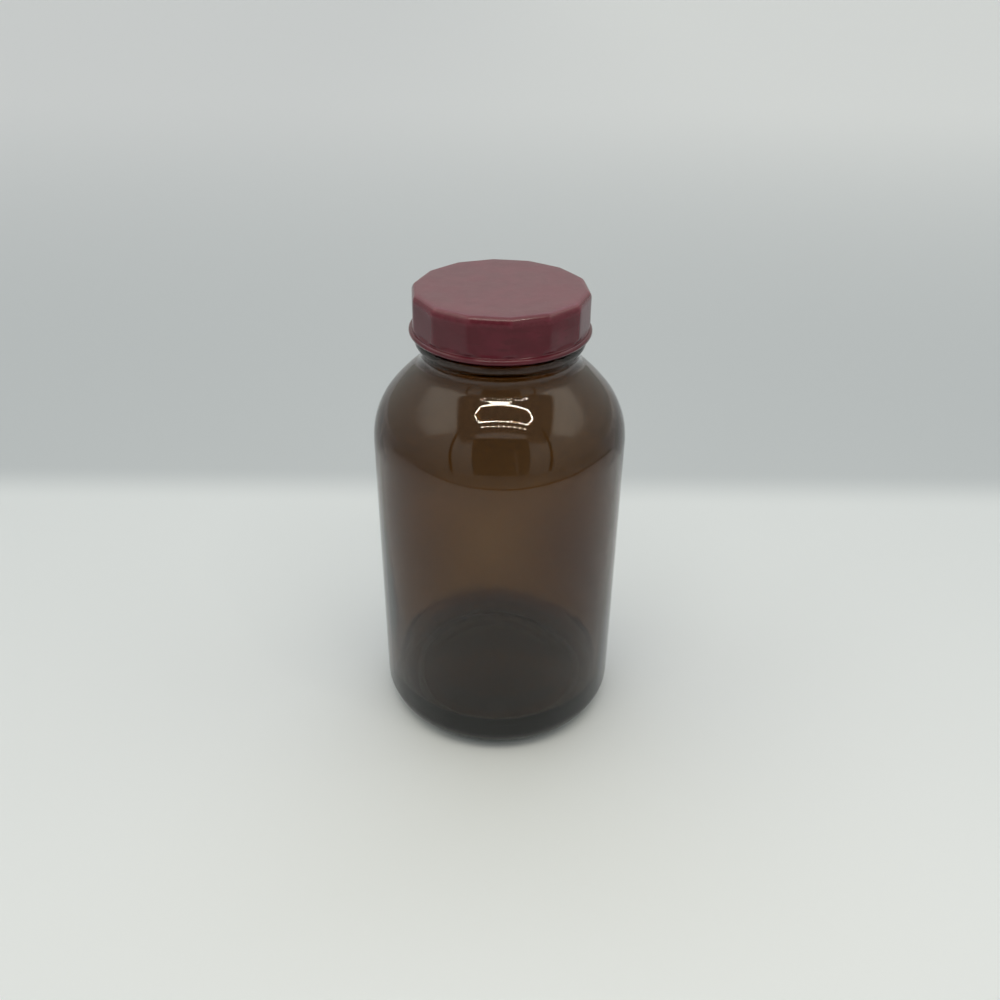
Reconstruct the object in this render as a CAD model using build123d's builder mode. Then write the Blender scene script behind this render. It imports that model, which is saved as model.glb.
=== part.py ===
from build123d import *
from math import acos, cos, degrees, pi, radians, sin
import os

# Wide-mouth amber glass bottle with a faceted, enamelled tinplate screw cap.
# Millimetres, +Z up, origin at the centre of the base's resting ring.

# ---- glass bottle: outside --------------------------------------------------
BODY_R = 41.75
HEEL_R = 9.2
SHOULDER_Z = 106.0
SHOULDER_ARC_R = 25.9
SHOULDER_TURN = 40.0
CROWN_ARC_R = 60.0
NECK_R = 25.4
NECK_FILLET = 5.5
RING_R = 27.1
RING_LOW_Z = 138.5
RING_HIGH_Z = 141.6
RING_FILLET = 1.3
FINISH_R = 25.25
LIP_Z = 154.8
LIP_FILLET = 0.9

# ---- glass bottle: inside ---------------------------------------------------
WALL = 2.85
FLOOR = 8.0
INNER_HEEL_R = 7.5
BORE_R = 22.0
BORE_FILLET = 8.5
REST_RING_W = 3.4
PUSH_UP = 3.6
CUTTER_RISE = 1.0
SELECT_TOL = 0.1

# ---- screw thread -----------------------------------------------------------
PITCH = 4.233
THREAD_TURNS = 1.25
THREAD_R = 26.35
THREAD_WIDTH = 2.3
THREAD_START_Z = 147.0
ROOT_SINK = 0.35
LUG_TURNS = 0.9
LUG_CREST_R = 25.6
LUG_WIDTH = 1.4
END_BALL_UNDERSIZE = 0.05

# ---- cap: outer shell -------------------------------------------------------
FACETS = 14
CORNER_R = 28.2
CORNER_ANGLE = -7.01
CAP_TOP_Z = 156.8
CAP_EDGE_FILLET = 2.4
CAP_CORNER_FILLET = 0.8
SHELL_T = 0.4
FACET_LOW_Z = 145.3
BEAD_R = 27.9
BEAD_TUBE_R = 0.92
BEAD_BORE_R = 0.5
BEAD_Z = 143.4
SKIRT_R = 27.6
SKIRT_BORE_R = 27.1

# ---- cap: inner shell and liner ---------------------------------------------
INNER_SHELL_T = 0.35
INNER_SHELL_BORE_R = 26.5
INNER_SHELL_LOW_Z = 143.8
LINER_GAP = 0.15
LINER_R = 25.2
FACING_T = 0.3
BACKING_T = 0.65

# ---- worked out from the above ----------------------------------------------
SHOULDER_C = BODY_R - SHOULDER_ARC_R
CROWN_DROP = SHOULDER_ARC_R - CROWN_ARC_R
CROWN_C = SHOULDER_C + CROWN_DROP * cos(radians(SHOULDER_TURN))
CROWN_C_Z = SHOULDER_Z + CROWN_DROP * sin(radians(SHOULDER_TURN))
REST_OUT_R = BODY_R - HEEL_R
REST_IN_R = REST_OUT_R - REST_RING_W
INNER_R = BODY_R - WALL
FLOOR_R = INNER_R - INNER_HEEL_R
FACING_Z = LIP_Z + LINER_GAP
BACKING_Z = FACING_Z + FACING_T
INNER_ROOF_Z = CAP_TOP_Z - SHELL_T - INNER_SHELL_T
LUG_START_Z = THREAD_START_Z - PITCH / 2


def dome_radius(rise, reach):
    """Radius of the arc that rises by rise over a half-width of reach."""
    return (rise * rise + reach * reach) / (2 * rise)


def crown_end(arc_r, neck_r):
    """Angle on a crown arc, from the level, at which it meets the neck."""
    return degrees(acos((neck_r - CROWN_C) / arc_r))


def crown_top(arc_r, neck_r):
    """Height at which a crown arc meets the neck."""
    return CROWN_C_Z + arc_r * sin(radians(crown_end(arc_r, neck_r)))


def ridge_face(root_r, crest_r, width, z, sink):
    """Section of a rounded ridge, from root_r to crest_r, sunk into its wall."""
    half = width / 2
    back_r = root_r + sink if crest_r < root_r else root_r - sink
    with BuildSketch(Plane.XZ) as face:
        with BuildLine():
            ThreePointArc((root_r, z - half), (crest_r, z), (root_r, z + half))
            Polyline((root_r, z + half), (back_r, z + half), (back_r, z - half), (root_r, z - half))
        make_face()
    return face.sketch


def thread_path(z, turns):
    """Right-handed helix about the bottle's axis, climbing from height z."""
    return Helix(PITCH, PITCH * turns, THREAD_R, center=(0, 0, z), mode=Mode.PRIVATE)


def ridge_ends(root_r, crest_r, width, z, turns):
    """Centres and radius of the balls that round off a ridge's two ends."""
    rise = abs(crest_r - root_r)
    ball_r = dome_radius(rise, width / 2)
    centre_r = crest_r - ball_r if crest_r > root_r else crest_r + ball_r
    angle = 2 * pi * turns
    first = (centre_r, 0, z)
    last = (centre_r * cos(angle), centre_r * sin(angle), z + PITCH * turns)
    return [first, last], ball_r - END_BALL_UNDERSIZE


def faceted_drum(corner_r, top_z, corner_fillet, edge_fillet):
    """Solid drum on the cap's outline, with rounded corners and a rounded top edge."""
    with BuildPart() as drum:
        with BuildSketch(Plane.XY.offset(FACET_LOW_Z)):
            RegularPolygon(corner_r, FACETS, rotation=CORNER_ANGLE)
        extrude(amount=top_z - FACET_LOW_Z)
        fillet(drum.edges().filter_by(Axis.Z), corner_fillet)
        fillet(drum.faces().sort_by(Axis.Z)[-1].edges(), edge_fillet)
    return drum.part


# ---- glass bottle: body, neck ring, finish, thread and push-up base ----------
with BuildPart() as glass_bottle:
    with BuildSketch(Plane.XZ) as outline:
        with BuildLine():
            RadiusArc((0, PUSH_UP), (REST_IN_R, 0), dome_radius(PUSH_UP, REST_IN_R))
            Line((REST_IN_R, 0), (REST_OUT_R, 0))
            CenterArc((REST_OUT_R, HEEL_R), HEEL_R, -90, 90)
            Line((BODY_R, HEEL_R), (BODY_R, SHOULDER_Z))
            CenterArc((SHOULDER_C, SHOULDER_Z), SHOULDER_ARC_R, 0, SHOULDER_TURN)
            rest_of_turn = crown_end(CROWN_ARC_R, NECK_R) - SHOULDER_TURN
            crown = CenterArc((CROWN_C, CROWN_C_Z), CROWN_ARC_R, SHOULDER_TURN, rest_of_turn)
            Polyline(
                crown @ 1,
                (NECK_R, RING_LOW_Z),
                (RING_R, RING_LOW_Z),
                (RING_R, RING_HIGH_Z),
                (FINISH_R, RING_HIGH_Z),
                (FINISH_R, LIP_Z),
                (0, LIP_Z),
                (0, PUSH_UP),
            )
        make_face()
        neck_root = (NECK_R, crown_top(CROWN_ARC_R, NECK_R))
        fillet(outline.vertices().sort_by_distance(neck_root)[0], NECK_FILLET)
        fillet(outline.vertices().filter_by(lambda v: abs(v.X - RING_R) < SELECT_TOL), RING_FILLET)
        lip_corner = outline.vertices().sort_by_distance((FINISH_R, LIP_Z))[0]
        fillet(lip_corner, LIP_FILLET)
    revolve(axis=Axis.Z)

    with BuildSketch(Plane.XZ) as hollow:
        crown_r = CROWN_ARC_R - WALL
        with BuildLine():
            Line((0, LIP_Z + CUTTER_RISE), (0, FLOOR + PUSH_UP))
            RadiusArc((0, FLOOR + PUSH_UP), (FLOOR_R, FLOOR), dome_radius(PUSH_UP, FLOOR_R))
            CenterArc((FLOOR_R, FLOOR + INNER_HEEL_R), INNER_HEEL_R, -90, 90)
            Line((INNER_R, FLOOR + INNER_HEEL_R), (INNER_R, SHOULDER_Z))
            CenterArc((SHOULDER_C, SHOULDER_Z), SHOULDER_ARC_R - WALL, 0, SHOULDER_TURN)
            rest_of_turn = crown_end(crown_r, BORE_R) - SHOULDER_TURN
            inner_crown = CenterArc((CROWN_C, CROWN_C_Z), crown_r, SHOULDER_TURN, rest_of_turn)
            Polyline(
                inner_crown @ 1,
                (BORE_R, LIP_Z + CUTTER_RISE),
                (0, LIP_Z + CUTTER_RISE),
            )
        make_face()
        bore_root = (BORE_R, crown_top(crown_r, BORE_R))
        fillet(hollow.vertices().sort_by_distance(bore_root)[0], BORE_FILLET)
    revolve(axis=Axis.Z, mode=Mode.SUBTRACT)
    bore_lip = glass_bottle.edges().filter_by(GeomType.CIRCLE).filter_by(
        lambda e: abs(e.radius - BORE_R) < SELECT_TOL and abs(e.center().Z - LIP_Z) < SELECT_TOL
    )
    fillet(bore_lip, LIP_FILLET)

    sweep(
        ridge_face(FINISH_R, THREAD_R, THREAD_WIDTH, THREAD_START_Z, ROOT_SINK),
        path=thread_path(THREAD_START_Z, THREAD_TURNS),
        is_frenet=True,
    )
    ends, ball_r = ridge_ends(FINISH_R, THREAD_R, THREAD_WIDTH, THREAD_START_Z, THREAD_TURNS)
    with Locations(*ends):
        Sphere(ball_r)

# ---- cap, outer shell: faceted skirt and top over a rolled bead --------------
drum = faceted_drum(CORNER_R, CAP_TOP_Z, CAP_CORNER_FILLET, CAP_EDGE_FILLET)
drum_hollow = faceted_drum(
    CORNER_R - SHELL_T / cos(pi / FACETS),
    CAP_TOP_Z - SHELL_T,
    CAP_CORNER_FILLET - SHELL_T,
    CAP_EDGE_FILLET - SHELL_T,
)
with BuildPart() as cap_outer_shell:
    add(drum)
    with BuildSketch(Plane.XY.offset(BEAD_Z)):
        Circle(SKIRT_R)
    extrude(amount=FACET_LOW_Z - BEAD_Z)
    add(drum_hollow, mode=Mode.SUBTRACT)
    with BuildSketch(Plane.XY.offset(BEAD_Z - CUTTER_RISE)):
        Circle(SKIRT_BORE_R)
    extrude(amount=FACET_LOW_Z - BEAD_Z + CUTTER_RISE, mode=Mode.SUBTRACT)
    with BuildSketch(Plane.XZ):
        with Locations((BEAD_R, BEAD_Z)):
            Circle(BEAD_TUBE_R)
    revolve(axis=Axis.Z)
    with BuildSketch(Plane.XZ):
        with Locations((BEAD_R, BEAD_Z)):
            Circle(BEAD_BORE_R)
            with Locations((0, -BEAD_TUBE_R / 2)):
                Rectangle(BEAD_BORE_R, BEAD_TUBE_R + CUTTER_RISE, align=(Align.CENTER, Align.MAX))
    revolve(axis=Axis.Z, mode=Mode.SUBTRACT)

# ---- cap, inner shell: threaded cup that carries the liner -------------------
with BuildPart() as cap_inner_shell:
    cup_r = INNER_SHELL_BORE_R + INNER_SHELL_T
    with BuildSketch(Plane.XY.offset(INNER_SHELL_LOW_Z)):
        Circle(cup_r)
    extrude(amount=CAP_TOP_Z - SHELL_T - INNER_SHELL_LOW_Z)
    with BuildSketch(Plane.XY.offset(INNER_SHELL_LOW_Z)):
        Circle(INNER_SHELL_BORE_R)
    extrude(amount=INNER_ROOF_Z - INNER_SHELL_LOW_Z, mode=Mode.SUBTRACT)
    crown_edge = cap_inner_shell.edges().filter_by(GeomType.CIRCLE).group_by(Axis.Z)[-1]
    fillet(crown_edge, CAP_EDGE_FILLET - SHELL_T)
    roof_edge = cap_inner_shell.edges().filter_by(GeomType.CIRCLE).filter_by(
        lambda e: abs(e.center().Z - INNER_ROOF_Z) < SELECT_TOL
        and abs(e.radius - INNER_SHELL_BORE_R) < SELECT_TOL
    )
    fillet(roof_edge, CAP_EDGE_FILLET - SHELL_T - INNER_SHELL_T)
    sweep(
        ridge_face(INNER_SHELL_BORE_R, LUG_CREST_R, LUG_WIDTH, LUG_START_Z, INNER_SHELL_T / 2),
        path=thread_path(LUG_START_Z, LUG_TURNS),
        is_frenet=True,
    )
    ends, ball_r = ridge_ends(INNER_SHELL_BORE_R, LUG_CREST_R, LUG_WIDTH, LUG_START_Z, LUG_TURNS)
    with Locations(*ends):
        Sphere(ball_r)

# ---- liner: waxed facing against the glass, pulpboard backing above it -------
with BuildPart() as liner_facing:
    with BuildSketch(Plane.XY.offset(FACING_Z)):
        Circle(LINER_R)
    extrude(amount=FACING_T)

with BuildPart() as liner_backing:
    with BuildSketch(Plane.XY.offset(BACKING_Z)):
        Circle(LINER_R)
    extrude(amount=BACKING_T)

# ---- one STEP file for each piece --------------------------------------------
glass_bottle.part.label = "glass_bottle"
cap_outer_shell.part.label = "cap_outer_shell"
cap_inner_shell.part.label = "cap_inner_shell"
liner_facing.part.label = "liner_facing"
liner_backing.part.label = "liner_backing"
os.makedirs("parts", exist_ok=True)
export_step(glass_bottle.part, "parts/glass_bottle.step")
export_step(cap_outer_shell.part, "parts/cap_outer_shell.step")
export_step(cap_inner_shell.part, "parts/cap_inner_shell.step")
export_step(liner_facing.part, "parts/liner_facing.step")
export_step(liner_backing.part, "parts/liner_backing.step")
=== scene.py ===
"""Amber wide-mouth bottle with a faceted enamelled screw cap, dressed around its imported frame."""

import logging
import math
from dataclasses import dataclass, field
from enum import Enum

import bpy
import numpy as np
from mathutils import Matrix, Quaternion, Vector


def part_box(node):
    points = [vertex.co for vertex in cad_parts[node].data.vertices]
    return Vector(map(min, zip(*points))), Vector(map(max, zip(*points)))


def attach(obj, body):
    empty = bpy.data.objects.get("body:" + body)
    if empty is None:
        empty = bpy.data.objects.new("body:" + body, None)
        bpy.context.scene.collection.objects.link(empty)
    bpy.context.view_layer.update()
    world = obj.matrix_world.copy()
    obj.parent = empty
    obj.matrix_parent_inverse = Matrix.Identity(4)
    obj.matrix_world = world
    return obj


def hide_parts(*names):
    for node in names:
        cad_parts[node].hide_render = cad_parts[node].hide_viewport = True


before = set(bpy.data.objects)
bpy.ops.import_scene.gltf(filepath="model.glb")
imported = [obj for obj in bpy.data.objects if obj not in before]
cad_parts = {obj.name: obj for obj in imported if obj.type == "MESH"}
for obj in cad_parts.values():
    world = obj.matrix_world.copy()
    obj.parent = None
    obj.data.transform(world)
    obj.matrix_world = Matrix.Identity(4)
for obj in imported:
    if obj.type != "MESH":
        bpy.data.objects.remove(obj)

LOG = logging.getLogger("bottle")
MM = 0.001
DOME_SOFT = 8.0 * MM
MIX_FIRST, MIX_SECOND, MIX_COLOUR = 6, 7, 2
TAU = 2 * math.pi


# ---------------------------------------------------------------- shader kit


class Wire:
    """A shader socket that sums, products and powers can be written with."""

    def __init__(self, graph: "Graph", socket: bpy.types.NodeSocket) -> None:
        """Wraps one output socket.

        Args:
            graph: the graph that the socket belongs to.
            socket: the output socket.
        """
        self.graph = graph
        self.socket = socket

    def _maths(self, operation: str, first: object, second: object) -> "Wire":
        """Adds one Math node and returns its result."""
        return self.graph.add("ShaderNodeMath", {"operation": operation}, {0: first, 1: second})

    def __add__(self, other: object) -> "Wire":
        """self + other."""
        return self._maths("ADD", self, other)

    __radd__ = __add__

    def __sub__(self, other: object) -> "Wire":
        """self - other."""
        return self._maths("SUBTRACT", self, other)

    def __rsub__(self, other: object) -> "Wire":
        """other - self."""
        return self._maths("SUBTRACT", other, self)

    def __mul__(self, other: object) -> "Wire":
        """self * other."""
        return self._maths("MULTIPLY", self, other)

    __rmul__ = __mul__

    def __truediv__(self, other: object) -> "Wire":
        """self / other."""
        return self._maths("DIVIDE", self, other)

    def __pow__(self, other: object) -> "Wire":
        """self to the power other."""
        return self._maths("POWER", self, other)

    def size(self) -> "Wire":
        """The value without its sign."""
        return self._maths("ABSOLUTE", self, 0.0)

    def step(self, low: float, high: float) -> "Wire":
        """A soft step: 0 below low, 1 above high, smooth between.

        Args:
            low: the value where the step starts to rise.
            high: the value where the step is complete. It may be below low, for a falling step.

        Returns:
            The step, from 0 to 1.
        """
        span = {"Value": self, "From Min": low, "From Max": high}
        if high < low:
            span.update({"From Min": high, "From Max": low, "To Min": 1.0, "To Max": 0.0})
        settings = {"interpolation_type": "SMOOTHSTEP"}
        return self.graph.add("ShaderNodeMapRange", settings, span)


class Graph:
    """A node tree under construction, for a material or the world."""

    def __init__(self, tree: bpy.types.NodeTree) -> None:
        """Empties the tree.

        Args:
            tree: the node tree to fill.
        """
        self.tree = tree
        tree.nodes.clear()

    @classmethod
    def for_material(cls, name: str) -> tuple["Graph", bpy.types.Material]:
        """Makes a material and its empty graph.

        Args:
            name: the material's name.

        Returns:
            The graph and the material.
        """
        material = bpy.data.materials.new(name)
        material.use_nodes = True
        return cls(material.node_tree), material

    def add(self, kind: str, settings: dict | None = None, inputs: dict | None = None,
            output: int | str = 0) -> Wire:
        """Adds any node.

        Args:
            kind: the node's type name.
            settings: the node's own settings, set first.
            inputs: values or wires by socket name or number.
            output: which output to return.

        Returns:
            The chosen output as a wire.
        """
        node = self.tree.nodes.new(kind)
        for key, value in (settings or {}).items():
            setattr(node, key, value)
        for key, value in (inputs or {}).items():
            if isinstance(value, Wire):
                self.tree.links.new(value.socket, node.inputs[key])
            else:
                node.inputs[key].default_value = value
        return Wire(self, node.outputs[output]) if node.outputs else Wire(self, None)

    def place(self, axis: int | None = None) -> Wire:
        """The point being shaded, in object coordinates, or one number of it.

        Args:
            axis: 0, 1 or 2 for X, Y or Z, or None for the whole point.

        Returns:
            The point or the coordinate, in metres.
        """
        point = self.add("ShaderNodeTexCoord", output="Object")
        if axis is None:
            return point
        return self.add("ShaderNodeSeparateXYZ", inputs={0: point}, output=axis)

    def noise(self, scale: float, detail: float = 2.0, point: Wire | None = None,
              rough: float = 0.5) -> Wire:
        """Noise from 0 to 1 over the object.

        Args:
            scale: cycles per metre.
            detail: octaves.
            point: the point to read it at, or None for the shaded point.
            rough: how strong the finer octaves are.

        Returns:
            The noise.
        """
        values = {"Vector": point or self.place(), "Scale": scale, "Detail": detail, "Roughness": rough}
        return self.add("ShaderNodeTexNoise", inputs=values)

    def mix(self, share: object, first: object, second: object) -> Wire:
        """A colour between two colours.

        Args:
            share: how much of the second, from 0 to 1.
            first: the colour at 0.
            second: the colour at 1.

        Returns:
            The mixed colour.
        """
        values = {"Factor": share, MIX_FIRST: rgba(first), MIX_SECOND: rgba(second)}
        return self.add("ShaderNodeMix", {"data_type": "RGBA"}, values, output=MIX_COLOUR)

    def bump(self, height: Wire, distance: float, strength: float = 1.0,
             normal: Wire | None = None) -> Wire:
        """A normal tilted by a height.

        Args:
            height: the height, from 0 to 1.
            distance: what 1 is, in metres.
            strength: how much of the tilt to keep.
            normal: a normal to start from.

        Returns:
            The tilted normal.
        """
        values = {"Height": height, "Distance": distance, "Strength": strength}
        if normal is not None:
            values["Normal"] = normal
        return self.add("ShaderNodeBump", inputs=values)

    def surface(self, values: dict, volume: Wire | None = None) -> None:
        """Ends a material in one Principled shader.

        Args:
            values: the shader's inputs by name.
            volume: a volume shader, or None.
        """
        shader = self.add("ShaderNodeBsdfPrincipled", inputs=values)
        ends = {"Surface": shader}
        if volume is not None:
            ends["Volume"] = volume
        self.add("ShaderNodeOutputMaterial", inputs=ends)


def rgba(colour: object) -> object:
    """Adds an alpha of 1 to a plain colour and leaves a wire alone."""
    return colour if isinstance(colour, Wire) else (*colour, 1.0)


# ------------------------------------------------------------------- finishes


@dataclass(frozen=True)
class AmberGlass:
    """Dark amber container glass: clear at its skin, coloured through its depth."""

    name: str = "amber_glass"
    tint: tuple[float, float, float] = (0.56, 0.385, 0.01)
    density: float = 900.0
    index: float = 1.5
    skin_rough: float = 0.015
    dust_rough: float = 0.06
    dust_scale: float = 900.0
    dust_step: tuple[float, float] = (0.62, 0.8)
    dust_z: tuple[float, float] = (0.09, 0.125)
    ripple: float = 0.00006
    ripple_scale: float = 70.0

    def material(self) -> bpy.types.Material:
        """Builds the glass: fire-polished ripple, faint dust on the shoulder, and absorption.

        Returns:
            The material.
        """
        g, material = Graph.for_material(self.name)
        height = g.place(2)
        dust = g.noise(self.dust_scale, 4.0).step(*self.dust_step) * height.step(*self.dust_z)
        rough = self.skin_rough + dust * (self.dust_rough - self.skin_rough)
        ripple = g.bump(g.noise(self.ripple_scale, 1.0), self.ripple)
        skin = {
            "Base Color": (1.0, 1.0, 1.0, 1.0),
            "Roughness": rough,
            "IOR": self.index,
            "Transmission Weight": 1.0,
            "Normal": ripple,
        }
        depth = {"Color": rgba(self.tint), "Density": self.density}
        g.surface(skin, g.add("ShaderNodeVolumeAbsorption", inputs=depth))
        return material


@dataclass(frozen=True)
class MaroonEnamel:
    """Stoved gloss enamel on tinplate: its top painted lighter with dust and painted sheen, its top rim
    and corners painted lighter with rub wear and painted highlight.
    """

    name: str = "maroon_enamel"
    colour: tuple[float, float, float] = (0.105, 0.007, 0.018)
    deep: tuple[float, float, float] = (0.082, 0.005, 0.013)
    # Pinkish grey laid over the whole top: partly dust, partly painted sheen from the bright ceiling.
    dust: tuple[float, float, float] = (0.60, 0.33, 0.39)
    # Lighter red on the top rim and the facet corners: partly rub wear, partly painted highlight.
    wear_and_highlight: tuple[float, float, float] = (0.26, 0.045, 0.075)
    top_z: float = 0.1568
    top_soft: tuple[float, float] = (0.0011, 0.0003)
    cloud_scale: float = 120.0
    cloud_step: tuple[float, float] = (0.35, 0.7)
    streak_scale: float = 150.0
    streak_squash: float = 5.0
    streak_step: tuple[float, float] = (0.56, 0.68)
    streak_depth: float = 0.9
    streak_height: float = 0.25
    film_scale: float = 260.0
    speck_scale: float = 2600.0
    dust_and_sheen_shares: tuple[float, float, float] = (0.10, 0.03, 0.12)
    rub_scale: float = 900.0
    wear_and_highlight_shares: tuple[float, float] = (0.15, 0.2)
    peel_scale: float = 420.0
    peel: float = 0.00004
    grit_scale: float = 5200.0
    grit: float = 0.000006
    gloss: float = 0.16
    top_haze: float = 0.16
    cloud_haze: float = 0.08

    def material(self) -> bpy.types.Material:
        """Builds the enamel: cloudy paint, level streaks on the skirt, dust and painted sheen on top,
        rub wear and painted highlight on the top rim and corners.

        Returns:
            The material.
        """
        g, material = Graph.for_material(self.name)
        cloud = g.noise(self.cloud_scale, 3.0)
        on_top = g.place(2).step(*(self.top_z - below for below in self.top_soft))
        squash = {0: g.place(), 1: (1.0, 1.0, self.streak_squash)}
        low = g.add("ShaderNodeVectorMath", {"operation": "MULTIPLY"}, squash)
        streak = g.noise(self.streak_scale, 4.0, point=low).step(*self.streak_step) * (1.0 - on_top)
        shade = cloud.step(*self.cloud_step) - streak * self.streak_depth
        base = g.mix(shade, self.deep, self.colour)
        film = g.noise(self.film_scale, 5.0, rough=0.7).step(0.3, 0.75)
        specks = g.noise(self.speck_scale, 2.0).step(0.66, 0.72)
        # The top is painted lighter: the even share over all of it is painted sheen, and the film and
        # specks are dust.
        even_sheen_share, in_film, in_specks = self.dust_and_sheen_shares
        dust_and_sheen_share = on_top * (even_sheen_share + film * in_film + specks * in_specks)
        edge = g.add("ShaderNodeAttribute", {"attribute_name": "edge"}, output="Fac")
        # The top rim and the facet corners are painted lighter: the even share along them is painted
        # highlight, and the noisy patches are rub wear.
        evenly, in_wear_patches = self.wear_and_highlight_shares
        wear_and_highlight_share = edge * (evenly + g.noise(self.rub_scale, 3.0).step(0.35, 0.75) * in_wear_patches)
        painted = g.mix(wear_and_highlight_share, base, self.wear_and_highlight)
        colour = g.mix(dust_and_sheen_share, painted, self.dust)
        peel = g.bump(g.noise(self.peel_scale, 2.0) + streak * self.streak_height, self.peel)
        grit = g.bump(g.noise(self.grit_scale, 2.0), self.grit, normal=peel)
        g.surface({
            "Base Color": colour,
            "Roughness": self.gloss + on_top * self.top_haze + cloud * self.cloud_haze,
            "Specular IOR Level": 0.4,
            "Coat Weight": 0.12,
            "Coat Roughness": 0.08,
            "Normal": grit,
        })
        return material


@dataclass(frozen=True)
class Tinplate:
    """Bright rolled tinplate under a thin gold lacquer."""

    name: str = "tinplate"
    bright: tuple[float, float, float] = (0.72, 0.66, 0.52)
    dull: tuple[float, float, float] = (0.50, 0.45, 0.36)
    line_wave: float = 21000.0
    patch_scale: float = 180.0
    relief: float = 0.000008

    def material(self) -> bpy.types.Material:
        """Builds the metal, with turning lines round the axis and dull patches.

        Returns:
            The material.
        """
        g, material = Graph.for_material(self.name)
        height = g.place(2)
        lines = g.add("ShaderNodeMath", {"operation": "SINE"}, {0: height * self.line_wave})
        patch = g.noise(self.patch_scale, 4.0).step(0.4, 0.7)
        g.surface({
            "Base Color": g.mix(patch, self.bright, self.dull),
            "Metallic": 1.0,
            "Roughness": 0.22 + patch * 0.2,
            "Normal": g.bump(lines * 0.5 + g.noise(900.0), self.relief),
        })
        return material


@dataclass(frozen=True)
class Pulpboard:
    """Grey-brown pressed pulpboard with short fibres."""

    name: str = "pulpboard"
    pale: tuple[float, float, float] = (0.52, 0.45, 0.34)
    dark: tuple[float, float, float] = (0.34, 0.28, 0.20)
    fibre_scale: float = 2400.0
    relief: float = 0.00005

    def material(self) -> bpy.types.Material:
        """Builds the board.

        Returns:
            The material.
        """
        g, material = Graph.for_material(self.name)
        fibre = g.noise(self.fibre_scale, 6.0, rough=0.75)
        g.surface({
            "Base Color": g.mix(fibre.step(0.35, 0.7), self.dark, self.pale),
            "Roughness": 0.92 - fibre * 0.1,
            "Normal": g.bump(fibre, self.relief),
        })
        return material


@dataclass(frozen=True)
class WaxedPaper:
    """Waxed white paper, with a faint ring pressed by the lip."""

    name: str = "waxed_paper"
    paper: tuple[float, float, float] = (0.80, 0.76, 0.66)
    pressed: tuple[float, float, float] = (0.62, 0.56, 0.44)
    ring_r: float = 0.0236
    ring_half: float = 0.0016
    fibre_scale: float = 1800.0
    relief: float = 0.00004

    def material(self) -> bpy.types.Material:
        """Builds the paper.

        Returns:
            The material.
        """
        g, material = Graph.for_material(self.name)
        across = g.place(0)
        along = g.place(1)
        radius = (across * across + along * along) ** 0.5
        ring = (radius - self.ring_r).size().step(self.ring_half, self.ring_half * 0.5)
        fibre = g.noise(self.fibre_scale, 5.0)
        share = ring * 0.7 + fibre.step(0.5, 0.9) * 0.2
        g.surface({
            "Base Color": g.mix(share, self.paper, self.pressed),
            "Roughness": 0.38 + fibre * 0.15,
            "Normal": g.bump(fibre * 0.4 - ring * 0.6, self.relief),
        })
        return material


@dataclass(frozen=True)
class SweepCard:
    """Pale matt card: near-white round the bottle, blue-grey past a soft line behind it.

    In front and at the sides the card ends in a long oval seam, with the tent's wall past it.
    """

    name: str = "sweep_card"
    front: tuple[float, float, float] = (0.835, 0.865, 0.885)
    near: tuple[float, float, float] = (0.82, 0.855, 0.88)
    back: tuple[float, float, float] = (0.60, 0.635, 0.665)
    far: tuple[float, float, float] = (0.78, 0.80, 0.83)
    far_right: tuple[float, float, float] = (0.87, 0.89, 0.91)
    right_x: tuple[float, float] = (-0.4, 0.5)
    wall: tuple[float, float, float] = (0.60, 0.63, 0.62)
    seam: tuple[float, float, float] = (0.01, 0.01, 0.01)
    line_y: float = 0.142
    line_soft: float = 0.018
    front_y: float = -0.12
    far_y: float = 1.3
    oval_x: tuple[float, float] = (-0.08, 0.56)
    oval_y: tuple[float, float] = (-0.02, 0.335)
    seam_half: float = 0.055

    def material(self) -> bpy.types.Material:
        """Builds the card.

        Returns:
            The material.
        """
        g, material = Graph.for_material(self.name)
        across, depth = g.place(0), g.place(1)
        side = (across - self.oval_x[0]) / self.oval_x[1]
        ahead = (depth - self.oval_y[0]) / self.oval_y[1]
        oval = (side * side + ahead * ahead) ** 0.5
        floor = g.mix(depth.step(self.front_y, self.line_y), self.front, self.near)
        floor = g.mix(oval.step(1.0 - self.seam_half, 1.0 + self.seam_half), floor, self.wall)
        seam = (oval - 1.0).size().step(self.seam_half, self.seam_half * 0.5)
        floor = g.mix(seam, floor, self.seam)
        beyond = depth.step(self.line_y - self.line_soft, self.line_y + self.line_soft)
        away = depth.step(self.line_y, self.far_y)
        far = g.mix(across.step(*self.right_x), self.far, self.far_right)
        wall = g.mix(away, self.back, far)
        g.surface({
            "Base Color": g.mix(beyond, floor, wall),
            "Roughness": 0.85,
            "Specular IOR Level": 0.1,
        })
        return material


# ------------------------------------------------------------- surface makers


def arc(centre: tuple[float, float], radius: float, start: float, end: float,
        count: int) -> np.ndarray:
    """Points on a circle in the (radius, height) plane.

    Each point is the centre plus radius times (cos a, sin a), with a running evenly from
    start to end.

    Args:
        centre: the circle's centre.
        radius: its radius.
        start: first angle in degrees.
        end: last angle in degrees.
        count: how many points.

    Returns:
        An array of shape (count, 2).
    """
    angle = np.radians(np.linspace(start, end, count))
    return np.stack([centre[0] + radius * np.cos(angle), centre[1] + radius * np.sin(angle)], axis=1)


def run(first: tuple[float, float], last: tuple[float, float], count: int) -> np.ndarray:
    """Points strictly between two points: first plus t times the way to last, 0 < t < 1."""
    share = np.linspace(0, 1, count + 2)[1:-1, None]
    return np.asarray(first) * (1 - share) + np.asarray(last) * share


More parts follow.
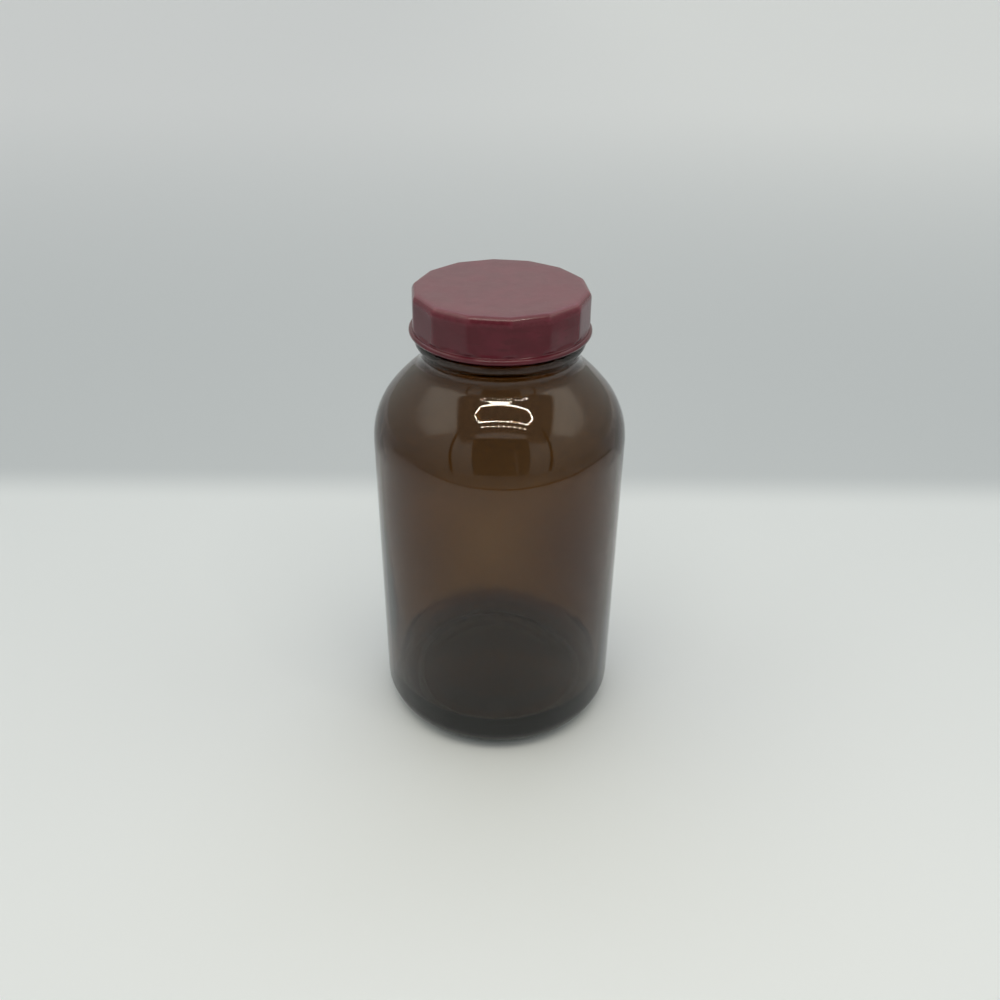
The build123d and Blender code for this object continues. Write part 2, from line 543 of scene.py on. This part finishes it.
def dome(reach: float, rise: float, base_z: float, count: int) -> np.ndarray:
    """Points from near the axis out to reach, on a cap of a sphere of that rise over base_z.

    The height is base_z plus the circle's height over its chord, with the sphere's radius
    (rise squared plus reach squared) over twice the rise. Over the last DOME_SOFT before the
    edge a smoothstep eases the height to 0, so that the glass runs off the dome without a crease.
    """
    radius = (rise * rise + reach * reach) / (2 * rise)
    across = np.linspace(0, reach, count + 1)[1:]
    lift = rise - radius + np.sqrt(radius * radius - across * across)
    return np.stack([across, base_z + lift * ease((reach - across) / DOME_SOFT)], axis=1)


def bump_shape(x: np.ndarray) -> np.ndarray:
    """A smooth hump: the square of (1 - x squared) inside -1 to 1, and 0 outside."""
    return np.clip(1 - x * x, 0, None) ** 2


def ease(x: np.ndarray) -> np.ndarray:
    """Smoothstep: 3x squared minus 2x cubed, clipped to 0 to 1."""
    t = np.clip(x, 0, 1)
    return t * t * (3 - 2 * t)


def lathe_mesh(name: str, points: np.ndarray, poles: tuple[np.ndarray, np.ndarray]) -> bpy.types.Object:
    """A closed skin from rings of points, with one point closing each end.

    Quads join ring i to ring i + 1 all the way round, and a fan joins each end ring to its
    pole. The first pole is joined so that faces point outwards when the profile runs from
    the bottom of the outside to the end.

    Args:
        name: the piece's name.
        points: shape (rings, around, 3), in metres.
        poles: the points that close the first and the last ring.

    Returns:
        The new object, at the origin.
    """
    rings, around, _ = points.shape
    index = np.arange(rings * around).reshape(rings, around)
    here, right = index, np.roll(index, -1, axis=1)
    quads = np.stack([here[:-1], right[:-1], right[1:], here[1:]], axis=-1).reshape(-1, 4)
    first, last = rings * around, rings * around + 1
    turn = np.full(around, first)
    start_fan = np.stack([turn, right[0], here[0]], axis=-1)
    end_fan = np.stack([turn + (last - first), here[-1], right[-1]], axis=-1)
    places = np.concatenate([points.reshape(-1, 3), np.stack(poles)])
    mesh = bpy.data.meshes.new(name)
    loops = np.concatenate([quads.ravel(), start_fan.ravel(), end_fan.ravel()]).astype(np.int32)
    sizes = np.concatenate([np.full(len(quads), 4), np.full(2 * around, 3)])
    starts = np.concatenate([[0], np.cumsum(sizes)[:-1]]).astype(np.int32)
    mesh.vertices.add(len(places))
    mesh.vertices.foreach_set("co", places.astype(np.float32).ravel())
    mesh.loops.add(len(loops))
    mesh.loops.foreach_set("vertex_index", loops)
    mesh.polygons.add(len(sizes))
    mesh.polygons.foreach_set("loop_start", starts)
    mesh.update(calc_edges=True)
    mesh.polygons.foreach_set("use_smooth", np.ones(len(sizes), bool))
    mesh.validate()
    piece = bpy.data.objects.new(name, mesh)
    bpy.context.scene.collection.objects.link(piece)
    return piece


# ------------------------------------------------------------ the glass bottle


@dataclass
class GlassBottle:
    """The blown glass: body, shoulder, neck ring, threaded finish and push-up base.

    All sizes are in metres. The outer radius and the lip's height come from the frame.
    """

    radius: float
    lip_z: float
    finish: AmberGlass = field(default_factory=AmberGlass)
    around: int = 256
    heel_r: float = 9.2 * MM
    shoulder_z: float = 106.0 * MM
    shoulder_r: float = 25.9 * MM
    shoulder_turn: float = 40.0
    crown_r: float = 60.0 * MM
    neck_r: float = 25.4 * MM
    neck_cove: float = 5.5 * MM
    ring_r: float = 27.1 * MM
    ring_z: tuple[float, float] = (138.5 * MM, 141.6 * MM)
    ring_round: float = 1.3 * MM
    finish_r: float = 25.25 * MM
    lip_round: float = 0.9 * MM
    wall: float = 2.85 * MM
    floor: float = 8.0 * MM
    inner_heel_r: float = 7.5 * MM
    bore_r: float = 22.0 * MM
    bore_cove: float = 8.5 * MM
    rest_w: float = 3.4 * MM
    push_up: float = 3.6 * MM
    pitch: float = 4.233 * MM
    thread_turns: float = 1.25
    thread_z: float = 147.0 * MM
    thread_rise: float = 1.1 * MM
    thread_half: float = 1.15 * MM
    thread_fade: float = 0.05
    wave: float = 0.22 * MM
    settle: float = 0.35 * MM
    seam_rise: float = 0.05 * MM
    seam_half: float = 0.35 * MM
    seam_angle: float = 0.42
    ring_foot: float = 0.4 * MM
    still_floor: float = 14 * MM
    still_neck: tuple[float, float] = (134 * MM, 12 * MM)
    sag_reach: float = 6 * MM

    def centres(self) -> tuple[tuple[float, float], tuple[float, float]]:
        """Centres of the shoulder's lower arc and of the flatter crown arc that carries it on.

        The crown's centre lies on the line through the lower centre at the turn's angle, so
        the two arcs share a tangent where they meet.
        """
        lower = (self.radius - self.shoulder_r, self.shoulder_z)
        turn = math.radians(self.shoulder_turn)
        drop = self.shoulder_r - self.crown_r
        return lower, (lower[0] + drop * math.cos(turn), lower[1] + drop * math.sin(turn))

    def cove(self, arc_r: float, pipe_r: float, cove_r: float) -> tuple[float, float]:
        """Where a cove between the crown's arc and an upright wall is centred.

        The centre stands cove_r outside the wall, and arc_r + cove_r from the crown's
        centre, so its height follows from a right triangle.

        Returns:
            The cove's centre height, and the crown's angle in degrees where they meet.
        """
        _, crown = self.centres()
        across = pipe_r + cove_r - crown[0]
        up = math.sqrt((arc_r + cove_r) ** 2 - across**2)
        return crown[1] + up, math.degrees(math.atan2(up, across))

    def outer_profile(self) -> np.ndarray:
        """The outside, from the push-up's middle to the top of the lip, as (radius, height)."""
        rest_out = self.radius - self.heel_r
        rest_in = rest_out - self.rest_w
        lower, crown = self.centres()
        cove_z, meet = self.cove(self.crown_r, self.neck_r, self.neck_cove)
        turn = self.shoulder_turn
        low, high = self.ring_z
        round_r = self.ring_round
        foot = self.ring_foot
        lip = self.lip_round
        return np.concatenate([
            dome(rest_in, self.push_up, 0.0, 22),
            run((rest_in, 0), (rest_out, 0), 3),
            arc((rest_out, self.heel_r), self.heel_r, -90, 0, 20),
            run((self.radius, self.heel_r), (self.radius, self.shoulder_z), 26),
            arc(lower, self.shoulder_r, 0, turn, 22),
            arc(crown, self.crown_r, turn, meet, 14)[1:],
            arc((self.neck_r + self.neck_cove, cove_z), self.neck_cove, 180 + meet, 180, 12)[1:],
            arc((self.ring_r - round_r, low + round_r), round_r, -90, 0, 9),
            arc((self.ring_r - round_r, high - round_r), round_r, 0, 90, 9),
            arc((self.finish_r + foot, high + foot), foot, 270, 180, 4),
            run((self.finish_r, high + foot), (self.finish_r, self.lip_z - lip), 50),
            arc((self.finish_r - lip, self.lip_z - lip), lip, 0, 90, 7),
        ])

    def inner_profile(self) -> np.ndarray:
        """The inside, from the lip down to the middle of the floor, as (radius, height)."""
        inner_r = self.radius - self.wall
        lower, crown = self.centres()
        crown_r = self.crown_r - self.wall
        cove_z, meet = self.cove(crown_r, self.bore_r, self.bore_cove)
        turn = self.shoulder_turn
        lip = self.lip_round
        heel_z = self.floor + self.inner_heel_r
        floor_r = inner_r - self.inner_heel_r
        return np.concatenate([
            arc((self.bore_r + lip, self.lip_z - lip), lip, 90, 180, 7),
            run((self.bore_r, self.lip_z - lip), (self.bore_r, cove_z), 10),
            arc((self.bore_r + self.bore_cove, cove_z), self.bore_cove, 180, 180 + meet, 12),
            arc(crown, crown_r, meet, turn, 14)[1:],
            arc(lower, self.shoulder_r - self.wall, turn, 0, 20)[1:],
            run((inner_r, self.shoulder_z), (inner_r, heel_z), 40),
            arc((floor_r, heel_z), self.inner_heel_r, 0, -90, 18),
            dome(floor_r, self.push_up, self.floor, 20)[::-1][1:],
        ])

    def thread_height(self, angle: np.ndarray, height: np.ndarray) -> np.ndarray:
        """How far the thread stands out at an angle and a height.

        On each turn the ridge's middle climbs by the pitch. Across the ridge the height is
        a circular segment of the thread's rise and width, and it fades in and out over a
        short way at its two ends.

        Returns:
            The rise in metres, 0 away from the thread.
        """
        total = np.zeros(np.broadcast(angle, height).shape)
        ball = (self.thread_rise**2 + self.thread_half**2) / (2 * self.thread_rise)
        for turn in range(math.ceil(self.thread_turns)):
            along = angle / TAU + turn
            off = height - (self.thread_z + self.pitch * along)
            segment = np.sqrt(np.clip(ball**2 - off**2, 0, None)) - (ball - self.thread_rise)
            fade = ease(along / self.thread_fade) * ease((self.thread_turns - along) / self.thread_fade)
            total = np.maximum(total, np.clip(segment, 0, None) * fade)
        return total

    def mesh(self) -> bpy.types.Object:
        """Makes the bottle's skin.

        Every point is (r cos a, r sin a, z). r is the profile's radius, plus the thread and
        a fine mould seam outside, and plus a slow swell and sag inside, where the glass
        settled unevenly.

        Returns:
            The piece.
        """
        outside, inside = self.outer_profile(), self.inner_profile()
        profile = np.concatenate([outside, inside])
        angle = np.linspace(0, TAU, self.around, endpoint=False)[None, :]
        reach, height = profile[:, :1], profile[:, 1:]
        is_outer = np.arange(len(profile))[:, None] < len(outside)
        on_finish = is_outer & (np.abs(reach - self.finish_r) < 0.01 * MM)
        radius = reach + np.where(on_finish, self.thread_height(angle, height), 0)
        seam_off = np.sin(angle - self.seam_angle) * reach
        seam = self.seam_rise * bump_shape(seam_off / self.seam_half)
        on_side = is_outer & (height > self.heel_r) & (height < self.ring_z[0] - MM)
        radius = radius + np.where(on_side, seam, 0)
        up = height / self.lip_z
        swell = (
            np.sin(2 * angle + 5.0 * up + 0.6)
            + 0.6 * np.sin(3 * angle - 8.0 * up + 2.1)
            + 0.4 * np.sin(5 * angle + 13.0 * up)
        )
        still_z, still_way = self.still_neck
        free = ease((height - self.floor) / self.still_floor) * ease((still_z - height) / still_way)
        radius = radius - np.where(is_outer, 0, self.wave * swell * free)
        on_floor = ease((self.floor + self.inner_heel_r - height) / self.sag_reach)
        sag = self.settle * np.sin(angle + 1.0) * (reach / self.radius) * on_floor
        level = height + np.where(is_outer, 0, sag)
        points = np.stack([
            radius * np.cos(angle), radius * np.sin(angle), np.broadcast_to(level, radius.shape),
        ], axis=-1)
        poles = (np.array([0, 0, self.push_up]), np.array([0, 0, self.floor + self.push_up]))
        return lathe_mesh("bottle_glass", points, poles)

    def build(self) -> bpy.types.Object:
        """Makes and dresses the bottle in place of its plain solid."""
        piece = self.mesh()
        piece.data.materials.append(self.finish.material())
        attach(piece, "bottle")
        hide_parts("glass_bottle")
        return piece


# -------------------------------------------------------------- the screw cap


@dataclass
class FacetedShell:
    """The enamelled outer shell: a faceted drum with a round bead rolled at its foot."""

    top_z: float
    bead_out: float
    finish: MaroonEnamel = field(default_factory=MaroonEnamel)
    facets: int = 14
    per_facet: int = 32
    corner_r: float = 28.2 * MM
    corner_turn: float = math.radians(-7.01)
    corner_round: float = 0.10
    sheet: float = 0.4 * MM
    edge_round: float = 2.4 * MM
    facet_low: float = 145.3 * MM
    waist_r: float = 27.75 * MM
    bead_z: float = 143.4 * MM
    bead_tube: float = 0.92 * MM
    bead_span: tuple[float, float] = (105, -150)
    hook_rise: float = 1.35 * MM
    curl_rise: float = 0.2 * MM
    dish: float = 0.25 * MM
    dent: float = 0.10 * MM
    top_ripple: float = 0.05 * MM
    flat_reach: tuple[float, float] = (25 * MM, 6 * MM)
    ripple_reach: tuple[float, float] = (24 * MM, 8 * MM)

    def flat_side(self, angle: np.ndarray) -> np.ndarray:
        """Radius of the faceted outline over its corner radius, at an angle.

        Inside one facet the outline is straight, so the radius is the apothem over the
        cosine of the angle from the facet's middle. Near a corner that angle is rounded
        off by a root of squares, which gives the pressed corners their small radius.
        """
        half = math.pi / self.facets
        from_corner = (angle - self.corner_turn + half) % (2 * half) - half
        soft = np.sqrt(from_corner**2 + (self.corner_round * half) ** 2)
        from_middle = np.clip(half - soft, -half, half)
        return math.cos(half) / np.cos(from_middle)

    def outer_profile(self) -> tuple[np.ndarray, np.ndarray]:
        """The outside from the top's middle to the foot of the bead.

        Returns:
            The (radius, height) points, and how faceted each is, from 0 to 1.
        """
        edge = self.edge_round
        flat_r = self.corner_r - edge
        top = np.stack([np.linspace(0, flat_r, 26)[1:], np.full(25, self.top_z)], axis=1)
        rim = arc((flat_r, self.top_z - edge), edge, 90, 0, 16)[1:]
        side = run((self.corner_r, self.top_z - edge), (self.corner_r, self.facet_low), 26)
        bead_r = self.bead_out - self.bead_tube
        hook = (self.waist_r, self.bead_z + self.hook_rise)
        waist = run((self.corner_r, self.facet_low), hook, 5)
        bead = arc((bead_r, self.bead_z), self.bead_tube, *self.bead_span, 26)
        points = np.concatenate([top, rim, side, waist, bead])
        share = np.concatenate([
            np.ones(len(top) + len(rim) + len(side)), np.linspace(1, 0, 7)[1:-1], np.zeros(len(bead)),
        ])
        return points, share

    def inner_profile(self) -> tuple[np.ndarray, np.ndarray]:
        """The inside from the bead's curled end up to the middle of the underside."""
        inside_r = self.corner_r - self.sheet
        low = (self.waist_r - self.sheet, self.bead_z + self.curl_rise)
        foot = run(low, (self.waist_r - self.sheet, self.facet_low), 4)
        side = run((inside_r, self.facet_low), (inside_r, self.top_z - self.edge_round), 16)
        edge = self.edge_round - self.sheet
        centre = (inside_r - edge, self.top_z - self.edge_round)
        rim = arc(centre, edge, 0, 90, 8)
        under = np.stack([
            np.linspace(inside_r - edge, 0, 16)[1:-1], np.full(14, self.top_z - self.sheet),
        ], axis=1)
        points = np.concatenate([foot, side, rim, under])
        share = np.concatenate([np.zeros(len(foot)), np.ones(len(side) + len(rim) + len(under))])
        return points, share

    def mesh(self) -> bpy.types.Object:
        """Makes the shell.

        Each ring is a circle blended with the faceted outline by that ring's share. The
        skirt carries slow dents, each a sine in angle times a sine in height, and the top
        is dished by a shallow paraboloid. Dents push in only, so the shell stays in its box.

        Returns:
            The piece, with an attribute that marks its corners and rims, where the enamel is painted
            lighter as rub wear and painted highlight.
        """
        (outer, outer_share), (inner, inner_share) = self.outer_profile(), self.inner_profile()
        profile = np.concatenate([outer, inner])[::-1]
        share = np.concatenate([outer_share, inner_share])[::-1, None]
        around = self.facets * self.per_facet
        angle = np.linspace(0, TAU, around, endpoint=False)[None, :] + self.corner_turn
        side = self.flat_side(angle)
        reach, height = profile[:, :1], profile[:, 1:]
        radius = reach * (1 + share * (side - 1))
        up = (height - self.facet_low) / (self.top_z - self.facet_low)
        on_side = share * ease((reach - 20 * MM) / (5 * MM)) * np.clip(up + 0.2, 0, 1)
        dents = (
            np.sin(3 * angle + 1.2) * np.sin(4.0 * up + 1.0)
            + 0.7 * np.sin(7 * angle - 0.4 + 2.5 * up)
            + 0.5 * np.sin(11 * angle + 6.0 * up)
        )
        radius = radius - self.dent * on_side * (dents + 2.2) / 2.2
        outward = (reach / self.corner_r) ** 2
        flat_r, flat_way = self.flat_reach
        fall = self.dish * (1 - outward) * ease((flat_r - reach) / flat_way)
        on_top = height > self.top_z - self.sheet - 0.01 * MM
        ripple = self.top_ripple * np.sin(3 * angle + reach / (5 * MM)) * outward
        ripple_r, ripple_way = self.ripple_reach
        calm = ease((ripple_r - reach) / ripple_way)
        level = height - np.where(on_top, fall + np.abs(ripple) * calm, 0)
        points = np.stack([
            radius * np.cos(angle), radius * np.sin(angle), np.broadcast_to(level, radius.shape),
        ], axis=-1)
        poles = (
            np.array([0, 0, self.top_z - self.sheet - self.dish]),
            np.array([0, 0, self.top_z - self.dish]),
        )
        piece = lathe_mesh("cap_enamelled_shell", points, poles)
        # The edge mark runs along the top rim and is strongest at the facet corners; the enamel paints
        # it lighter as rub wear and painted highlight.
        crest = 0.4 * side.mean() + 0.6 * side.max()
        corner = ease((side - crest) / (side.max() - crest))
        low = self.top_z - self.edge_round
        rim = ease((height - low + MM) / MM) * ease((reach - self.corner_r + 2 * MM) / MM)
        edge = (rim * share * (0.55 + 0.45 * corner)).ravel()
        marks = piece.data.attributes.new("edge", "FLOAT", "POINT")
        values = np.concatenate([edge, [0.0, 0.0]]).astype(np.float32)
        marks.data.foreach_set("value", values)
        return piece

    def build(self) -> bpy.types.Object:
        """Makes and dresses the shell in place of its plain solid."""
        piece = self.mesh()
        piece.data.materials.append(self.finish.material())
        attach(piece, "cap")
        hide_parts("cap_outer_shell")
        return piece


@dataclass
class CapInsides:
    """The threaded inner shell and the two liner discs, which keep their own solids."""

    metal: Tinplate = field(default_factory=Tinplate)
    board: Pulpboard = field(default_factory=Pulpboard)
    paper: WaxedPaper = field(default_factory=WaxedPaper)

    def build(self) -> list[bpy.types.Object]:
        """Gives each solid its finish and returns the solids."""
        dressed = []
        for node, finish in (
            ("cap_inner_shell", self.metal),
            ("liner_backing", self.board),
            ("liner_facing", self.paper),
        ):
            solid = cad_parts[node]
            material = finish.material()
            solid.data.materials.clear()
            solid.data.materials.append(material)
            dressed.append(solid)
        return dressed


# --------------------------------------------------------------------- studio


class Side(Enum):
    """The four sides of the lamp frame overhead."""

    LEFT = "left"
    RIGHT = "right"
    FRONT = "front"
    BACK = "back"


@dataclass
class LampFrame:
    """A rounded rectangle of thin lamps overhead, facing down, its front side in dashes."""

    x: tuple[float, float] = (-0.107, 0.147)
    y: tuple[float, float] = (-0.170, -0.105)
    z: float = 0.40
    corner: float = 0.028
    width: float = 0.0045
    colour: tuple[float, float, float] = (1.0, 0.94, 0.82)
    radiance: dict[Side, float] = field(default_factory=lambda: {
        Side.LEFT: 48.0, Side.RIGHT: 62.0, Side.FRONT: 52.0, Side.BACK: 44.0,
    })
    front_cut: float = 0.6
    front_share: float = 0.6
    dashes: int = 13
    dash_fill: float = 0.62
    dots: int = 9
    dot_step: float = 0.022
    dot_size: tuple[float, float] = (0.010, 0.0045)
    dot_radiance: float = 36.0
    seed: int = 7

    def bar(self, name: str, start: tuple[float, float], end: tuple[float, float],
            radiance: float, width: float) -> bpy.types.Object:
        """Hangs one straight lamp.

        Args:
            name: the lamp's name.
            start: one end of its middle line, in x and y.
            end: the other end.
            radiance: how bright it looks.
            width: its width.

        Returns:
            The lamp.
        """
        along = (end[0] - start[0], end[1] - start[1])
        length = math.hypot(*along)
        data = bpy.data.lights.new(name, "AREA")
        data.shape = "RECTANGLE"
        data.size, data.size_y = length, width
        data.energy = radiance * math.pi * width * length
        data.color = self.colour
        lamp = bpy.data.objects.new(name, data)
        lamp.location = ((start[0] + end[0]) / 2, (start[1] + end[1]) / 2, self.z)
        lamp.rotation_euler = (0, 0, math.atan2(along[1], along[0]))
        bpy.context.scene.collection.objects.link(lamp)
        return lamp

    def build(self) -> list[bpy.types.Object]:
        """Hangs the back and the two sides, the cut corners, the dashes and the dots.

        Returns:
            The lamps.
        """
        (x0, x1), (y0, y1), cut = self.x, self.y, self.corner
        tuck = cut * self.front_cut
        power = self.radiance
        runs = [
            ("left", (x0, y0 + cut), (x0, y1 - cut), power[Side.LEFT]),
            ("right", (x1, y0 + cut), (x1, y1 - cut), power[Side.RIGHT]),
            ("back", (x0 + cut, y1), (x1 - cut, y1), power[Side.BACK]),
            ("back_left", (x0, y1 - cut), (x0 + cut, y1), power[Side.LEFT]),
            ("back_right", (x1, y1 - cut), (x1 - cut, y1), power[Side.RIGHT]),
            ("front_left", (x0, y0 + cut), (x0 + tuck, y0), power[Side.LEFT] * self.front_share),
            ("front_right", (x1, y0 + cut), (x1 - tuck, y0), power[Side.RIGHT] * self.front_share),
        ]
        lamps = [self.bar(f"bar_{name}", a, b, level, self.width) for name, a, b, level in runs]
        uneven = np.random.default_rng(self.seed).uniform(0.5, 1.5, self.dashes)
        step = (x1 - x0 - 2 * tuck) / self.dashes
        for i, share in enumerate(uneven.tolist()):
            left = x0 + tuck + (i + (1 - self.dash_fill) / 2) * step
            ends = (left, y0), (left + self.dash_fill * step, y0)
            lamps.append(self.bar(f"dash_{i}", *ends, power[Side.FRONT] * share, self.width))
        size, width = self.dot_size
        for i, x in enumerate(np.linspace(x0 + cut, x1 - cut, self.dots).tolist()):
            ends = (x - size / 2, y0 - self.dot_step), (x + size / 2, y0 - self.dot_step)
            lamps.append(self.bar(f"dot_{i}", *ends, self.dot_radiance, width))
        return lamps


@dataclass
class Studio:
    """A small light tent: pale card, soft walls with a front opening, and panels above."""

    card: SweepCard = field(default_factory=SweepCard)
    lamps: LampFrame = field(default_factory=LampFrame)
    floor_half: float = 8.0
    wall_low: tuple[float, float, float] = (0.50, 0.53, 0.50)
    wall_high: tuple[float, float, float] = (0.88, 0.90, 0.85)
    panel: tuple[float, float, float] = (1.75, 1.73, 1.55)
    rear: tuple[float, float, float] = (1.9, 1.95, 2.1)
    roof: tuple[float, float, float] = (0.38, 0.37, 0.33)
    outside: tuple[float, float, float] = (0.20, 0.22, 0.20)
    line: tuple[float, float, float] = (0.05, 0.05, 0.05)
    trim: tuple[float, float, float] = (1.0, 0.96, 0.88)
    strength: float = 0.94
    wall_z: tuple[float, float] = (-0.1, 0.8)
    ceiling_z: tuple[float, float] = (0.30, 0.40)
    ceiling_middle: float = 0.12
    ceiling_lean: float = 0.25
    panel_inner: tuple[float, float] = (0.64, 0.74)
    panel_outer: tuple[float, float] = (2.3, 1.0)
    panel_front: tuple[float, float] = (-0.62, -0.40)
    panel_back: tuple[float, float] = (0.8, 0.35)
    roof_side: tuple[float, float] = (0.78, 0.64)
    roof_front: tuple[float, float] = (-1.15, -0.80)
    roof_back: tuple[float, float] = (0.70, 0.50)
    rear_side: tuple[float, float] = (0.95, 0.85)
    rear_front: tuple[float, float] = (0.50, 0.65)
    rear_back: tuple[float, float] = (1.25, 1.10)
    opening_turn: float = 0.03
    trim_front: tuple[float, float] = (-0.80, -0.77)
    trim_back: tuple[float, float] = (-0.66, -0.70)
    trim_side: tuple[float, float] = (0.60, 0.48)
    flap_edge: tuple[float, float] = (0.735, 0.26)
    flap_width: tuple[float, float] = (0.038, 0.014)
    flap_z: tuple[float, float] = (0.80, 0.70)
    flap_share: float = 0.9
    core_spread: float = 0.21
    core_side: tuple[float, float] = (0.41, 0.375)
    core_top: tuple[float, float] = (-0.77, -0.81)
    cord_turn: float = 0.27
    cord_width: tuple[float, float] = (0.022, 0.008)
    cord_top: tuple[float, float] = (0.6, 0.5)
    cord_low: tuple[float, float] = (0.02, 0.08)
    cord_share: float = 0.3

    def floor(self) -> bpy.types.Object:
        """Makes the card that the bottle stands on: a flat grid of four corners."""
        half = self.floor_half
        corners = [(-half, -half, 0), (half, -half, 0), (half, half, 0), (-half, half, 0)]
        mesh = bpy.data.meshes.new("floor")
        mesh.from_pydata(corners, [], [(0, 1, 2, 3)])
        mesh.materials.append(self.card.material())
        floor = bpy.data.objects.new("floor", mesh)
        bpy.context.scene.collection.objects.link(floor)
        return floor

    def world(self) -> None:
        """Fills the surroundings.

        A direction's rise z, its angle from straight ahead and its place (x / z, y / z) on a
        level ceiling choose the parts with soft steps, each a pair of limits in a field. The
        parts are walls that brighten upwards, a panel at each side of the ceiling and one behind,
        a dim roof between them, and the dim opening in front with a pale trim over it, an outlined
        flap each side and a hanging cord.
        """
        world = bpy.data.worlds.new("tent")
        bpy.context.scene.world = world
        world.use_nodes = True
        g = Graph(world.node_tree)
        way = g.add("ShaderNodeTexCoord", output="Generated")
        x, y, z = (g.add("ShaderNodeSeparateXYZ", inputs={0: way}, output=i) for i in range(3))
        angle = g.add("ShaderNodeMath", {"operation": "ARCTAN2"}, {0: x, 1: 0.0 - y})
        back = y / z
        shade = g.mix(z.step(*self.wall_z), self.wall_low, self.wall_high)
        shade = self.ceiling(g, x / z, back, z, shade)
        shade = self.opening(g, angle, back, z, shade)
        light = g.add("ShaderNodeBackground", inputs={"Color": shade, "Strength": self.strength})
        g.add("ShaderNodeOutputWorld", inputs={"Surface": light})

    def ceiling(self, g: Graph, aside: Wire, back: Wire, z: Wire, shade: Wire) -> Wire:
        """Adds the two side panels, the dim roof between them and the panel behind.

        Args:
            g: the world's graph.
            aside: a direction's place on the ceiling to the right, x / z.
            back: its place on the ceiling to the rear, y / z.
            z: its rise.
            shade: the colour so far.

        Returns:
            The colour with the ceiling in it.
        """
        above = z.step(*self.ceiling_z)
        lean = (aside - self.ceiling_middle).size() + back * self.ceiling_lean
        panel = lean.step(*self.panel_inner) * lean.step(*self.panel_outer)
        panel = panel * above * back.step(*self.panel_front) * back.step(*self.panel_back)
        shade = g.mix(panel, shade, self.panel)
        roof = above * lean.step(*self.roof_side) * back.step(*self.roof_front)
        shade = g.mix(roof * back.step(*self.roof_back), shade, self.roof)
        rear = above * aside.size().step(*self.rear_side) * back.step(*self.rear_front)
        return g.mix(rear * back.step(*self.rear_back), shade, self.rear)

    def opening(self, g: Graph, angle: Wire, back: Wire, z: Wire, shade: Wire) -> Wire:
        """Adds the trim, the outlines of the two flaps, the dim opening and the hanging cord.

        Args:
            g: the world's graph.
            angle: a direction's angle from straight ahead, in radians.
            back: its place on the ceiling to the rear, y / z.
            z: its rise.
            shade: the colour so far.

        Returns:
            The colour with the opening in it.
        """
        off = (angle - self.opening_turn).size()
        trim = back.step(*self.trim_front) * back.step(*self.trim_back) * off.step(*self.trim_side)
        shade = g.mix(trim, shade, self.trim)
        start, spread = self.flap_edge
        outline = (off - start - z * spread).size().step(*self.flap_width)
        shade = g.mix(outline * z.step(*self.flap_z) * self.flap_share, shade, self.line)
        core = (off - z * self.core_spread).step(*self.core_side) * back.step(*self.core_top)
        shade = g.mix(core, shade, self.outside)
        cord = (angle - self.cord_turn).size().step(*self.cord_width)
        cord = cord * z.step(*self.cord_top) * z.step(*self.cord_low)
        return g.mix(cord * self.cord_share, shade, self.trim)

    def build(self) -> None:
        """Sets the whole stage."""
        self.floor()
        self.lamps.build()
        self.world()


@dataclass
class Viewpoint:
    """The camera: where it stands, how far it looks down, and its lens."""

    body_r: float
    aside: float = 0.009
    back: float = 6.883
    height: float = 6.162
    pitch: float = math.radians(31.75)
    roll: float = math.radians(0.56)
    lens: float = 34.86

    def build(self) -> bpy.types.Object:
        """Places the camera. Distances are in body radii, so that they follow the frame."""
        data = bpy.data.cameras.new("camera")
        data.lens = self.lens
        data.clip_start, data.clip_end = 0.01, 20.0
        camera = bpy.data.objects.new("camera", data)
        camera.location = (
            self.aside * self.body_r, -self.back * self.body_r, self.height * self.body_r,
        )
        camera.rotation_mode = "QUATERNION"
        look = Quaternion((1, 0, 0), math.pi / 2 - self.pitch)
        camera.rotation_quaternion = look @ Quaternion((0, 0, 1), self.roll)
        bpy.context.scene.collection.objects.link(camera)
        bpy.context.scene.camera = camera
        return camera


def main() -> None:
    """Builds every sub-assembly in order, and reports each."""
    logging.basicConfig(level=logging.INFO, format="%(name)s: %(message)s")
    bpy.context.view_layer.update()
    _, glass_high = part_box("glass_bottle")
    _, cap_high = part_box("cap_outer_shell")
    body_r = round(glass_high.x, 5)
    view = bpy.context.scene.view_settings
    view.view_transform = "Standard"
    bottle = GlassBottle(radius=body_r, lip_z=glass_high.z).build()
    LOG.info("%s: %d faces", bottle.name, len(bottle.data.polygons))
    shell = FacetedShell(top_z=cap_high.z, bead_out=round(cap_high.x, 5)).build()
    LOG.info("%s: %d faces", shell.name, len(shell.data.polygons))
    for solid in CapInsides().build():
        LOG.info("%s: %d faces", solid.name, len(solid.data.polygons))
    Studio().build()
    Viewpoint(body_r=body_r).build()


if __name__ == "__main__":
    main()
